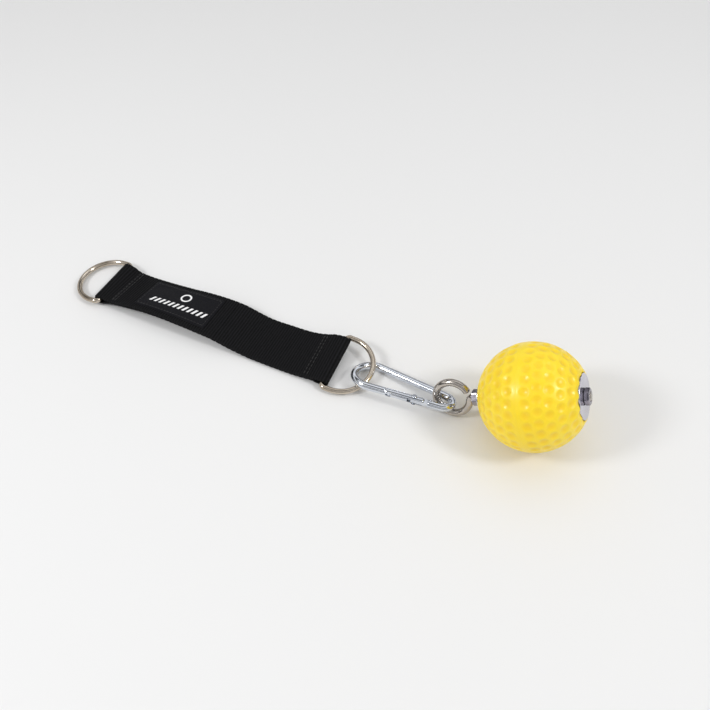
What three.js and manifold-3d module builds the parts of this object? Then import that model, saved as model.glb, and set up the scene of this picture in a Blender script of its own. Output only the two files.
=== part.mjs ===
// Grip-training ball on an eye bolt, hooked to a webbing strap with two D-rings.
// Millimetres, +Z up, floor at z = 0, +X along the strap towards the ball.
import * as THREE from "three";
import { mergeVertices } from "three/addons/utils/BufferGeometryUtils.js";
import Module from "manifold-3d";

const wasm = await Module();
wasm.setup();

// ---------------------------------------------------------------- driving dimensions
const ORIGIN = [174.104, 6.2, 0]; // moves the middle of the outline to x = 0, y = 0

const BALL_R = 36; // 72 mm ball
const BALL_CENTRE = [338.8, 6.2, 36];
const END_SEAT = 31.2; // floor of the large washer's recess, from the ball's centre
const END_RECESS_R = 15.5; // the washer lies flush in it
const HOOK_SEAT = 34.4; // flat under the inner washer
const BALL_BORE_R = 3.2;

const BOLT_TILT = 23.231; // degrees above the floor
const BOLT_TURN = 6.873; // degrees from the strap's line
const EYE_R = 11.9; // wire centre line
const EYE_WIRE_R = 2.6;
const EYE_FROM_BALL = 55.6;
const EYE_ROLL = 71.476; // turn of the eye's plane about the bolt
const EYE_GAP = 20; // degrees between the shank and the open end
const EYE_BEND = 3; // reverse bend between eye and shank
const SHANK_R = 2.9;
const BOLT_END = 36.6; // past the ball's centre

const END_WASHER = { outer: 15, inner: 3.2, thick: 1.5 };
const INNER_WASHER = { outer: 9, inner: 3.2, thick: 1.2 };
const NUT = { flats: 10, thick: 5, bore: 3.06 };
const END_NUT_THICK = 3.4; // thin nut on the outside
const SEAT_GAP = 0.06;

const WEB_W = 40; // webbing width
const WEB_T = 3.2; // two layers
const PLY = 1.6;
const STRAP_END = 201.95;
const ANCHOR_BAR = [3.95, 0, 5.0];
const LINK_BAR = [198.0, 0, 7.331];
const LOOP_IN = 2.35; // inside of the loop round the bar
const LOOP_OUT = 3.95;
const NECK = 11.5; // bar to stitched neck
const BEND_1 = 101,
  BEND_2 = 115;
const BEND_GAP = 1.8;
// height of the band's middle plane along the strap: it lies in a low arch
const STRAP_Z = [[0, 5.0], [15.45, 4.9], [99.2, 8.1], [117, 7.3], [137, 3.9], [172, 4.5], [186.5, 6.1], [198, 7.331]];
const LINK_ROLL = 9.424; // twist of the strap's far end
const LINK_TILT = -2.109;
const ANCHOR_TILT = -4.2;

const LABEL = { x0: 35, x1: 97.5, w: 31.6, thick: 0.8 };

const RING_WIRE_R = 2;
const RING_R = 22.4; // arc's centre line
const RING_LEG = 6.3; // bar to the arc's centre
const RING_CORNER = 3;

const HOOK_CENTRE = [228.556, -0.546, 6.52]; // centre of the wide arc
const HOOK_U = [0.99848, -0.03222, 0.0447];
const HOOK_V = [0.0434, 0.95968, -0.27772];
const HOOK_ROD_R = 2.8;
const HOOK_L = 53.6,
  HOOK_R1 = 12.9,
  HOOK_R2 = 6.8;
const LATCH_S = 13.9; // along the gate's arm, from the wide arc
const RIVET_S = 34.6;
const GATE_END_S = 41.8;
const ROD_END_S = 44.2;
const GATE_REST = 0.35; // clearance at the latch

// ---------------------------------------------------------------- helpers
const V = (a) => new THREE.Vector3(...a);
const rad = (d) => (d * Math.PI) / 180;

function solid(geometry) {
  let g = geometry.index ? geometry.toNonIndexed() : geometry.clone();
  g.deleteAttribute("normal");
  g.deleteAttribute("uv");
  g = mergeVertices(g, 1e-4);
  return new wasm.Manifold(
    new wasm.Mesh({
      numProp: 3,
      vertProperties: new Float32Array(g.attributes.position.array),
      triVerts: new Uint32Array(g.index.array),
    }),
  );
}

function geometryOf(m) {
  const mesh = m.getMesh();
  const n = mesh.numProp,
    count = mesh.vertProperties.length / n;
  const p = new Float32Array(count * 3);
  for (let i = 0; i < count; i++)
    for (let k = 0; k < 3; k++) p[3 * i + k] = mesh.vertProperties[n * i + k];
  const g = new THREE.BufferGeometry();
  g.setAttribute("position", new THREE.BufferAttribute(p, 3));
  g.setIndex(new THREE.BufferAttribute(new Uint32Array(mesh.triVerts), 1));
  g.computeVertexNormals();
  return g;
}

// A solid of revolution about z from [r, z] pairs that start and end on the axis.
const turned = (profile, segments = 40) =>
  solid(
    new THREE.LatheGeometry(
      profile.map(([r, z]) => new THREE.Vector2(r, z)),
      segments,
    ).rotateX(Math.PI / 2),
  );
const rod = (r, z0, z1, segments = 32) =>
  turned([[0, z0], [r, z0], [r, z1], [0, z1]], segments);
const box = (x0, x1, y0, y1, z0, z1) =>
  solid(
    new THREE.BoxGeometry(x1 - x0, y1 - y0, z1 - z0).translate(
      (x0 + x1) / 2,
      (y0 + y1) / 2,
      (z0 + z1) / 2,
    ),
  );

// A path made of lines and arcs in the z = 0 plane.
class Path2 extends THREE.Curve {
  constructor() {
    super();
    this.parts = [];
  }
  line(a, b) {
    this.parts.push({ len: Math.hypot(b[0] - a[0], b[1] - a[1]), at: (t) => [a[0] + (b[0] - a[0]) * t, a[1] + (b[1] - a[1]) * t] });
    return this;
  }
  arc(c, r, a0, a1) {
    this.parts.push({ len: Math.abs(a1 - a0) * r, at: (t) => [c[0] + r * Math.cos(a0 + (a1 - a0) * t), c[1] + r * Math.sin(a0 + (a1 - a0) * t)] });
    return this;
  }
  get total() {
    return this.parts.reduce((s, p) => s + p.len, 0);
  }
  getPoint(t, target = new THREE.Vector3()) {
    let d = Math.min(Math.max(t, 0), 1) * this.total;
    for (let i = 0; i < this.parts.length; i++) {
      const p = this.parts[i];
      if (d <= p.len || i === this.parts.length - 1) {
        const [x, y] = p.at(p.len ? Math.min(d / p.len, 1) : 0);
        return target.set(x, y, 0);
      }
      d -= p.len;
    }
  }
}

function wire(path, r, steps, sides = 16) {
  const shape = new THREE.Shape();
  for (let i = 0; i < sides; i++) {
    const a = (2 * Math.PI * (i + 0.5)) / sides;
    i ? shape.lineTo(r * Math.cos(a), r * Math.sin(a)) : shape.moveTo(r * Math.cos(a), r * Math.sin(a));
  }
  shape.closePath();
  return solid(
    new THREE.ExtrudeGeometry(shape, {
      steps,
      extrudePath: path,
      bevelEnabled: false,
    }),
  );
}
const ballEnd = (r, x, y, z = 0) =>
  solid(new THREE.SphereGeometry(r, 20, 12).translate(x, y, z));

const materials = {
  ball: { color: 0xf5c60f, roughness: 0.22, metalness: 0.0 },
  zinc: { color: 0xd5d9de, roughness: 0.18, metalness: 1.0 },
  bright: { color: 0xe4e6ea, roughness: 0.1, metalness: 1.0 },
  nickel: { color: 0xc9c1b4, roughness: 0.2, metalness: 1.0 },
  webbing: { color: 0x141416, roughness: 0.85, metalness: 0.0 },
  label: { color: 0x1b1b22, roughness: 0.6, metalness: 0.0 },
  thread: { color: 0x26262b, roughness: 0.7, metalness: 0.0 },
};

const root = new THREE.Group();
root.name = "grip_ball_with_strap";
const frame = new THREE.Group();
frame.position.set(-ORIGIN[0], -ORIGIN[1], -ORIGIN[2]);
root.add(frame);

function piece(parent, name, manifold, kind) {
  const m = new THREE.Mesh(geometryOf(manifold), new THREE.MeshStandardMaterial(materials[kind]));
  m.name = name;
  parent.add(m);
  return m;
}
function placed(at, x, y, z) {
  const g = new THREE.Group();
  const m = new THREE.Matrix4().makeBasis(x, y, z);
  g.quaternion.setFromRotationMatrix(m);
  g.position.copy(at);
  frame.add(g);
  return g;
}

// ---------------------------------------------------------------- webbing
// Side outline of one run in (x, z), then twisted along its length.
const strapZ = (x) => {
  for (let i = 1; i < STRAP_Z.length; i++) {
    const [xa, za] = STRAP_Z[i - 1],
      [xb, zb] = STRAP_Z[i];
    if (x <= xb) return za + ((zb - za) * Math.max(x - xa, 0)) / (xb - xa);
  }
  return STRAP_Z[STRAP_Z.length - 1][1];
};
// Lifts a flat piece on to the arch.
const arched = (m, base = 0) => {
  const g = geometryOf(m);
  const p = g.attributes.position;
  for (let i = 0; i < p.count; i++) p.setZ(i, p.getZ(i) + strapZ(p.getX(i)) + base);
  return solid(g);
};
const strapRoll = (x) =>
  rad(LINK_ROLL) * Math.min(Math.max((x - BEND_2) / (LINK_BAR[0] - 12 - BEND_2), 0), 1);

function bandOutline(bar, neckX, endX) {
  // Outline with the loop round the bar at one end; sign tells which way the run goes.
  const s = Math.sign(endX - bar);
  const h = WEB_T / 2;
  const pts = [];
  const lo = Math.min(endX, neckX),
    hi = Math.max(endX, neckX);
  const xs = [lo, hi, ...STRAP_Z.map((p) => p[0]).filter((x) => x > lo + 0.01 && x < hi - 0.01)];
  if (endX < bar && hi > BEND_2) for (let x = BEND_2 + 12; x < hi - 4; x += 9) if (xs.every((q) => Math.abs(q - x) > 3)) xs.push(x);
  xs.sort((p, q) => p - q);
  if (endX > neckX) xs.reverse();
  for (const x of xs) pts.push([x, h]);
  // tangent from the neck to the loop's outside
  const dx = Math.abs(neckX - bar);
  const d = Math.hypot(dx, h);
  const base = Math.atan2(h, dx);
  const open = base + Math.acos(LOOP_OUT / d);
  const turns = 22;
  for (let i = 0; i <= turns; i++) {
    const a = open + ((2 * Math.PI - 2 * open) * i) / turns;
    pts.push([bar + s * LOOP_OUT * Math.cos(a), LOOP_OUT * Math.sin(a)]);
  }
  for (const x of [...xs].reverse()) pts.push([x, -h]);
  return pts;
}
function band(outline, hole) {
  const shape = new THREE.Shape(outline.map(([x, z]) => new THREE.Vector2(x, z)));
  if (hole) {
    const h = new THREE.Path();
    const n = 24;
    for (let i = 0; i < n; i++) {
      const a = (2 * Math.PI * i) / n;
      i
        ? h.lineTo(hole + LOOP_IN * Math.cos(a), LOOP_IN * Math.sin(a))
        : h.moveTo(hole + LOOP_IN * Math.cos(a), LOOP_IN * Math.sin(a));
    }
    h.closePath();
    shape.holes.push(h);
  }
  const g = new THREE.ExtrudeGeometry(shape, { depth: WEB_W, bevelEnabled: false, steps: 1 });
  // (x, height, across) -> row axes, with the twist
  const p = g.attributes.position;
  for (let i = 0; i < p.count; i++) {
    const x = p.getX(i),
      up = p.getY(i),
      across = WEB_W / 2 - p.getZ(i);
    const r = strapRoll(x);
    const bar = x < BEND_1 ? ANCHOR_BAR : LINK_BAR;
    const middle = Math.abs(x - bar[0]) < NECK - 0.1 ? bar[2] : strapZ(x); // the loop stays round
    p.setXYZ(
      i,
      x,
      across * Math.cos(r) - up * Math.sin(r),
      middle + across * Math.sin(r) + up * Math.cos(r),
    );
  }
  return solid(g);
}
piece(frame, "webbing_anchor_run", band(bandOutline(ANCHOR_BAR[0], ANCHOR_BAR[0] + NECK, BEND_1 - BEND_GAP), ANCHOR_BAR[0]), "webbing");
piece(
  frame,
  "webbing_bend_section",
  arched(box(BEND_1 + BEND_GAP, BEND_2 - BEND_GAP, -WEB_W / 2, WEB_W / 2, -WEB_T / 2, WEB_T / 2)),
  "webbing",
);
{
  const o = bandOutline(LINK_BAR[0], LINK_BAR[0] - NECK, BEND_2 + BEND_GAP);
  piece(frame, "webbing_grip_run", band(o.reverse(), LINK_BAR[0]), "webbing");
}

// label, its thread and the two seams
const topZ = WEB_T / 2 + 0.04;
piece(frame, "strap_label", arched(box(LABEL.x0, LABEL.x1, -LABEL.w / 2, LABEL.w / 2, topZ, topZ + LABEL.thick)), "label");
{
  const a = topZ + LABEL.thick + 0.03;
  const outer = box(LABEL.x0 + 1.6, LABEL.x1 - 1.6, -LABEL.w / 2 + 1.6, LABEL.w / 2 - 1.6, a, a + 0.35);
  const inner = box(LABEL.x0 + 2.3, LABEL.x1 - 2.3, -LABEL.w / 2 + 2.3, LABEL.w / 2 - 2.3, a - 1, a + 1);
  piece(frame, "label_thread", arched(outer.subtract(inner)), "thread");
}
piece(frame, "anchor_seam_thread", arched(box(15.7, 16.5, -18.2, 18.2, topZ, topZ + 0.4)), "thread");
{
  const x = LINK_BAR[0] - NECK - 1.4;
  const g = new THREE.BoxGeometry(0.8, 36.4, 0.4);
  const seam = new THREE.Group();
  seam.rotation.x = strapRoll(x);
  seam.position.set(x, 0, strapZ(x));
  frame.add(seam);
  piece(seam, "link_seam_thread", solid(g.translate(0, 0, WEB_T / 2 + 0.12 + 0.2)), "thread");
}

// ---------------------------------------------------------------- D-rings
// Local frame: x away from the strap, y along the bar, origin at the bar's middle.
function dRing() {
  const c = RING_CORNER,
    R = RING_R,
    L = RING_LEG;
  const a = new Path2()
    .line([0, 0.6], [0, -(R - c)])
    .arc([c, -(R - c)], c, Math.PI, 1.5 * Math.PI)
    .line([c, -R], [L, -R])
    .arc([L, 0], R, -Math.PI / 2, 0.05);
  const b = new Path2()
    .line([0, -0.6], [0, R - c])
    .arc([c, R - c], c, Math.PI, Math.PI / 2)
    .line([c, R], [L, R])
    .arc([L, 0], R, Math.PI / 2, -0.05);
  return wire(a, RING_WIRE_R, 38, 12).add(wire(b, RING_WIRE_R, 38, 12));
}
{
  const t = rad(ANCHOR_TILT);
  const x = new THREE.Vector3(-Math.cos(t), 0, Math.sin(t));
  const y = new THREE.Vector3(0, -1, 0);
  const g = placed(V(ANCHOR_BAR), x, y, new THREE.Vector3().crossVectors(x, y));
  piece(g, "anchor_ring", dRing(), "nickel");
}
{
  const t = rad(LINK_TILT),
    r = rad(LINK_ROLL);
  const x = new THREE.Vector3(Math.cos(t), 0, Math.sin(t));
  const bar = new THREE.Vector3(0, Math.cos(r), Math.sin(r));
  const z = new THREE.Vector3().crossVectors(x, bar).normalize();
  const y = new THREE.Vector3().crossVectors(z, x);
  const g = placed(V(LINK_BAR), x, y, z);
  piece(g, "link_ring", dRing(), "nickel");
}

// ---------------------------------------------------------------- snap hook
const hookX = V(HOOK_U).normalize();
const hookZ = new THREE.Vector3().crossVectors(hookX, V(HOOK_V)).normalize();
const hookY = new THREE.Vector3().crossVectors(hookZ, hookX);
const hook = placed(V(HOOK_CENTRE), hookX, hookY, hookZ);

const taper = Math.asin((HOOK_R1 - HOOK_R2) / HOOK_L);
const armStart = [HOOK_R1 * Math.sin(taper), -HOOK_R1 * Math.cos(taper)]; // gate side
const armDir = [Math.cos(taper), Math.sin(taper)];
const onArm = (s, n = 0) => [
  armStart[0] + armDir[0] * s - armDir[1] * n,
  armStart[1] + armDir[1] * s + armDir[0] * n,
];
const armLength = HOOK_L * Math.cos(taper);
const a0 = Math.PI / 2 - taper;
// A solid drawn along +x from the wide arc, y inwards, moved on to the gate's arm.
const toArm = (m) =>
  solid(
    geometryOf(m)
      .rotateZ(taper)
      .translate(armStart[0], armStart[1], 0),
  );

{
  const far = (s) => [onArm(s)[0], -onArm(s)[1]];
  const path = new Path2()
    .line(onArm(LATCH_S), onArm(0))
    .arc([0, 0], HOOK_R1, 2 * Math.PI - a0, a0)
    .line(far(0), far(armLength))
    .arc([HOOK_L, 0], HOOK_R2, a0, -a0)
    .line(onArm(armLength), onArm(ROD_END_S));
  let body = wire(path, HOOK_ROD_R, 110, 14);
  // latch nose: a neck and a wider head the gate drops over
  body = body.add(toArm(box(LATCH_S - 1, 16.3, -1.6, 1.6, -0.85, 0.85)));
  body = body.add(toArm(box(16.05, 17.35, -1.6, 1.6, -1.65, 1.65)));
  // flattened tongue with a round heel and the rivet's hole
  let tongue = box(RIVET_S - 1.9, ROD_END_S + 1, -2.2, 2.2, -1.25, 1.25);
  body = body.add(toArm(tongue));
  body = body.subtract(
    toArm(solid(new THREE.CylinderGeometry(1.3, 1.3, 8, 24).rotateX(Math.PI / 2).translate(RIVET_S, 0, 0))),
  );
  piece(hook, "hook_body", body, "zinc");
}
{
  const at = (z0, z1, r) =>
    solid(new THREE.CylinderGeometry(r, r, z1 - z0, 28).rotateZ(-Math.PI / 2).translate((z0 + z1) / 2, 0, 0));
  let gate = at(LATCH_S + GATE_REST, GATE_END_S, HOOK_ROD_R);
  gate = gate.subtract(box(LATCH_S - 1, 16.2, -4, 4, -1.2, 1.2)); // slot for the neck
  gate = gate.subtract(box(15.65, 18.6, -4, 4, -2.05, 2.05)); // pocket for the head
  gate = gate.subtract(box(30.2, GATE_END_S + 1, -4, 4, -1.55, 1.55)); // fork round the tongue
  gate = gate.subtract(at(20.2, 31, 1.45)); // spring bore
  gate = gate.subtract(
    solid(new THREE.CylinderGeometry(1.3, 1.3, 9, 24).rotateX(Math.PI / 2).translate(RIVET_S, 0, 0)),
  );
  piece(hook, "hook_gate", toArm(gate), "zinc");

  // rivet through fork and tongue, heads outside the fork's cheeks
  const rz = 3.05;
  const rivet = rod(1.1, -rz, rz, 24).add(
    turned([[0, 2.9], [1.9, 2.9], [1.7, 3.25], [1.0, 3.55], [0, 3.62]], 24),
  ).add(turned([[0, -3.62], [1.0, -3.55], [1.7, -3.25], [1.9, -2.9], [0, -2.9]], 24));
  piece(hook, "gate_rivet", toArm(solid(geometryOf(rivet).translate(RIVET_S, 0, 0))), "zinc");

  // plunger: flange against the tongue's heel, stem inside the spring
  const heel = RIVET_S - 1.9 - 0.08;
  const plunger = at(heel - 1.5, heel, 1.25).add(at(heel - 6.5, heel - 1.2, 0.5));
  piece(hook, "gate_plunger", toArm(plunger), "zinc");

  // coil spring between the bore's blind end and the flange
  class Coil extends THREE.Curve {
    getPoint(t, target = new THREE.Vector3()) {
      const z0 = 20.55,
        z1 = heel - 1.5 - 0.35,
        a = 2 * Math.PI * 8 * t;
      return target.set(z0 + (z1 - z0) * t, 1.0 * Math.cos(a), 1.0 * Math.sin(a));
    }
  }
  piece(hook, "gate_spring", toArm(wire(new Coil(), 0.2, 88, 5)), "bright");
}

// ---------------------------------------------------------------- eye bolt and ball
// Local frame: origin at the ball's centre, z along the bolt away from the hook.
const tilt = rad(BOLT_TILT),
  turn = rad(BOLT_TURN);
const boltZ = new THREE.Vector3(Math.cos(tilt) * Math.cos(turn), Math.cos(tilt) * Math.sin(turn), Math.sin(tilt));
const side = new THREE.Vector3(-Math.sin(turn), Math.cos(turn), 0);
const lift = new THREE.Vector3().crossVectors(boltZ, side);
const boltX = side.clone().multiplyScalar(Math.cos(rad(EYE_ROLL))).addScaledVector(lift, Math.sin(rad(EYE_ROLL)));
const boltY = new THREE.Vector3().crossVectors(boltZ, boltX);
const bolt = placed(V(BALL_CENTRE), boltX, boltY, boltZ);

{
  // drawn in a plane with +x along the shank from the eye's centre, +y across the eye
  const rho = EYE_BEND;
  const xf = Math.sqrt((EYE_R + rho) ** 2 - rho ** 2);
  const join = Math.atan2(-rho, xf);
  const eye = new Path2()
    .arc([0, 0], EYE_R, rad(EYE_GAP), 2 * Math.PI + join)
    .arc([xf, -rho], rho, Math.PI + join, Math.PI / 2)
    .line([xf, 0], [xf + 1.2, 0]);
  let m = wire(eye, EYE_WIRE_R, 60, 16);
  const shank = solid(
    new THREE.CylinderGeometry(SHANK_R, SHANK_R, EYE_FROM_BALL + BOLT_END - xf - 0.2, 32)
      .rotateZ(Math.PI / 2)
      .translate((xf + 0.2 + EYE_FROM_BALL + BOLT_END) / 2, 0, 0),
  );
  m = m.add(shank);
  // plane (x, y) -> bolt frame: x to z, y to x
  const g = geometryOf(m);
  g.translate(-EYE_FROM_BALL, 0, 0);
  g.applyMatrix4(new THREE.Matrix4().makeBasis(new THREE.Vector3(0, 0, 1), new THREE.Vector3(1, 0, 0), new THREE.Vector3(0, 1, 0)));
  piece(bolt, "eye_bolt", solid(g), "bright");
}
{
  const n = 34;
  const profile = [];
  for (let i = 0; i <= n; i++) {
    const a = (Math.PI * i) / n;
    profile.push([i === 0 || i === n ? 0 : BALL_R * Math.sin(a), -BALL_R * Math.cos(a)]);
  }
  let ball = turned(profile, 60);
  ball = ball.subtract(rod(END_RECESS_R, END_SEAT, BALL_R + 5, 48));
  ball = ball.subtract(rod(BALL_R, -BALL_R - 5, -HOOK_SEAT, 24));
  ball = ball.subtract(rod(BALL_BORE_R, -BALL_R - 5, BALL_R + 5, 40));
  piece(bolt, "ball", ball, "ball");
}
const ringOf = (w, z0) => rod(w.outer, z0, z0 + w.thick, 48).subtract(rod(w.inner, z0 - 1, z0 + w.thick + 1, 32));
function hexNut(z0, thick = NUT.thick) {
  const corner = NUT.flats / 2 / Math.cos(Math.PI / 6);
  const hex = solid(new THREE.CylinderGeometry(corner, corner, thick, 6).rotateX(Math.PI / 2).translate(0, 0, z0 + thick / 2));
  // 30 degree chamfers on both ends
  const k = 0.55;
  const cone = turned(
    [
      [0, z0 - 0.001],
      [corner - k * 1.3, z0 - 0.001],
      [corner + 0.4, z0 + k * 1.05],
      [corner + 0.4, z0 + thick - k * 1.05],
      [corner - k * 1.3, z0 + thick + 0.001],
      [0, z0 + thick + 0.001],
    ],
    36,
  );
  return hex.intersect(cone).subtract(rod(NUT.bore, z0 - 1, z0 + thick + 1, 32));
}
piece(bolt, "end_washer", ringOf(END_WASHER, END_SEAT + SEAT_GAP), "bright");
piece(bolt, "end_nut", hexNut(END_SEAT + 2 * SEAT_GAP + END_WASHER.thick, END_NUT_THICK), "bright");
piece(bolt, "inner_washer", ringOf(INNER_WASHER, -HOOK_SEAT - SEAT_GAP - INNER_WASHER.thick), "bright");
piece(bolt, "inner_nut", hexNut(-HOOK_SEAT - 2 * SEAT_GAP - INNER_WASHER.thick - NUT.thick), "zinc");

export default root;
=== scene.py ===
import bpy, bmesh, math
import numpy as np
from mathutils import Vector, Matrix


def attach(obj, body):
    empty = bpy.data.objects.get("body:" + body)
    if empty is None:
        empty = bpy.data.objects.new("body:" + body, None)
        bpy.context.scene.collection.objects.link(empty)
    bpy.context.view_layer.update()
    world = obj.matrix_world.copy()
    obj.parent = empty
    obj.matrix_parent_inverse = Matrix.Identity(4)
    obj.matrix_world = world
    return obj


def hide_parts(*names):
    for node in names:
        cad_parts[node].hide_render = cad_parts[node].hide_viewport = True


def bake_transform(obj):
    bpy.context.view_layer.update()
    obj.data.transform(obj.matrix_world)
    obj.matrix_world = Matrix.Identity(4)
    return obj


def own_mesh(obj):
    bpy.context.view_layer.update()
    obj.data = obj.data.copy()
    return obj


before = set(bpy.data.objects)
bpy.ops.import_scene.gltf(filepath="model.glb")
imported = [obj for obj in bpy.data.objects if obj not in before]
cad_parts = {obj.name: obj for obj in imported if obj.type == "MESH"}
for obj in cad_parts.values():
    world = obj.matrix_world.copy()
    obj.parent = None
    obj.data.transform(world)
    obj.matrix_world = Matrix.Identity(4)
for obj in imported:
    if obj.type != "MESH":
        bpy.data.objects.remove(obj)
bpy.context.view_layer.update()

# Positions below are in the strap frame in mm (x along the strap, floor at 0); O moves them to the row frame.
MM = 0.001
O = np.array([174.104, 6.2, 0.0])
rad, pi = math.radians, math.pi


def row(p):
    return tuple(float(c) for c in (np.asarray(p, float) - O) * MM)


def unit(v):
    v = np.asarray(v, float)
    return v / np.linalg.norm(v)


def smooth01(t):
    t = np.clip(t, 0, 1)
    return t * t * (3 - 2 * t)


# ------------------------------------------------------------------ mesh helpers
def build(name, v, faces, sharp=None, attrs=None):
    """A mesh object from strap-frame mm points; faces turned outwards."""
    v = np.asarray(v, float).reshape(-1, 3)
    faces = [list(map(int, f)) for f in faces]
    vol = 0.0
    q = v - v.mean(0)
    for f in faces:
        for k in range(1, len(f) - 1):
            vol += float(np.dot(q[f[0]], np.cross(q[f[k]], q[f[k + 1]]))) if len(faces) < 4000 else 0.0
    if len(faces) >= 4000:
        t = np.array([(f[0], f[k], f[k + 1]) for f in faces for k in range(1, len(f) - 1)])
        vol = float(np.einsum("ij,ij->i", q[t[:, 0]], np.cross(q[t[:, 1]], q[t[:, 2]])).sum())
    if vol < 0:
        faces = [f[::-1] for f in faces]
    me = bpy.data.meshes.new(name)
    me.from_pydata(((v - O) * MM).tolist(), [], faces)
    me.update()
    if len(faces) < 60000:
        bm = bmesh.new()
        bm.from_mesh(me)
        bmesh.ops.recalc_face_normals(bm, faces=bm.faces)
        bm.to_mesh(me)
        bm.free()
    me.polygons.foreach_set("use_smooth", np.ones(len(me.polygons), bool))
    if sharp is not None:
        me.set_sharp_from_angle(angle=rad(sharp))
    for k, a in (attrs or {}).items():
        a = np.asarray(a, np.float32)
        kind = "FLOAT_VECTOR" if a.ndim == 2 else "FLOAT"
        at = me.attributes.new(k, kind, "POINT")
        at.data.foreach_set("vector" if a.ndim == 2 else "value", a.ravel())
    o = bpy.data.objects.new(name, me)
    bpy.context.scene.collection.objects.link(o)
    return o


def grid(n, m, wrap_n=False, wrap_m=True, base=0):
    i = np.arange(n if wrap_n else n - 1)[:, None]
    j = np.arange(m if wrap_m else m - 1)[None, :]
    a = (i % n) * m + (j % m)
    b = ((i + 1) % n) * m + (j % m)
    c = ((i + 1) % n) * m + ((j + 1) % m)
    d = (i % n) * m + ((j + 1) % m)
    return (np.stack([a + 0 * d, b + 0 * a, c, d + 0 * a], -1).reshape(-1, 4) + base).tolist()


def bool_apply(o, other, op):
    m = o.modifiers.new("cut", "BOOLEAN")
    m.operation, m.solver, m.object = op, "EXACT", other
    bpy.context.view_layer.update()
    dg = bpy.context.evaluated_depsgraph_get()
    me = bpy.data.meshes.new_from_object(o.evaluated_get(dg))
    o.modifiers.clear()
    old = o.data
    o.data = me
    bpy.data.meshes.remove(old)
    bpy.data.objects.remove(other)
    return o


def finish_shape(o, sharp=32):
    me = o.data
    me.polygons.foreach_set("use_smooth", np.ones(len(me.polygons), bool))
    me.set_sharp_from_angle(angle=rad(sharp))
    return o


def line2(p, q, step):
    p, q = np.array(p, float), np.array(q, float)
    n = max(1, int(round(np.linalg.norm(q - p) / step)))
    return [p + (q - p) * k / n for k in range(n + 1)]


def arc2(c, r, a0, a1, step):
    n = max(3, int(round(abs(a1 - a0) * r / step)))
    return [np.array([c[0] + r * math.cos(a0 + (a1 - a0) * k / n), c[1] + r * math.sin(a0 + (a1 - a0) * k / n)]) for k in range(n + 1)]


def join2(*runs):
    out = []
    for r in runs:
        for p in r:
            if not out or np.linalg.norm(p - out[-1]) > 1e-4:
                out.append(p)
    return np.array(out)


def tube(name, path, place, radius, sides=24, closed=False, sharp=None):
    """A wire along a plane path. place = (origin, ex, ey, ez); radius is a number, an array along the path, or a function (distance, angle)."""
    o, ex, ey, ez = place
    p = np.asarray(path, float)
    if closed and np.linalg.norm(p[0] - p[-1]) < 1e-4:
        p = p[:-1]
    n = len(p)
    if closed:
        t = np.roll(p, -1, 0) - np.roll(p, 1, 0)
    else:
        t = np.gradient(p, axis=0)
    t /= np.linalg.norm(t, axis=1)[:, None]
    s = np.concatenate([[0], np.cumsum(np.linalg.norm(np.diff(p, axis=0), axis=1))])
    b = np.stack([-t[:, 1], t[:, 0]], 1)
    ang = 2 * pi * np.arange(sides) / sides
    if callable(radius):
        r = radius(s[:, None], ang[None, :]) * np.ones((n, sides))
    else:
        r = np.broadcast_to(np.asarray(radius, float).reshape(-1, 1), (n, sides)) if np.ndim(radius) else np.full((n, sides), float(radius))
    flat = p[:, None, :] + b[:, None, :] * (r * np.cos(ang))[:, :, None]
    h = r * np.sin(ang)
    v = o + flat[..., 0:1] * ex + flat[..., 1:2] * ey + h[..., None] * ez
    f = grid(n, sides, closed, True)
    if not closed:
        f += [list(range(sides)), [(n - 1) * sides + k for k in range(sides)][::-1]]
    return build(name, v.reshape(-1, 3), f, sharp)


def lathe(name, profile, place, segs=64, ring=True, sharp=32):
    """profile (r, z); ring: a closed loop off the axis, else starts and ends on it."""
    o, ex, ey, ez = place
    pr = np.asarray(profile, float)
    ang = 2 * pi * np.arange(segs) / segs
    mid = pr if ring else pr[1:-1]
    v = o + (mid[:, 0:1, None] * np.cos(ang)[None, :, None]) * ex + (mid[:, 0:1, None] * np.sin(ang)[None, :, None]) * ey + mid[:, 1][:, None, None] * ez
    v = v.reshape(-1, 3)
    f = grid(len(mid), segs, ring, True)
    if not ring:
        v = np.vstack([v, o + ez * pr[0, 1], o + ez * pr[-1, 1]])
        a, z = len(v) - 2, len(v) - 1
        last = (len(mid) - 1) * segs
        f += [[k, (k + 1) % segs, a] for k in range(segs)]
        f += [[last + (k + 1) % segs, last + k, z] for k in range(segs)]
    return build(name, v, f, sharp)


def boxmesh(name, place, x, y, z):
    o, ex, ey, ez = place
    v = [o + ex * a + ey * b + ez * c for c in z for b in y for a in x]
    return build(name, v, [[0, 2, 3, 1], [4, 5, 7, 6], [0, 1, 5, 4], [2, 6, 7, 3], [0, 4, 6, 2], [1, 3, 7, 5]])


# ------------------------------------------------------------------ materials
def srgb(*c):
    return tuple(((x / 255) / 12.92 if x / 255 <= 0.04045 else ((x / 255 + 0.055) / 1.055) ** 2.4) for x in c) + (1.0,)


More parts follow.
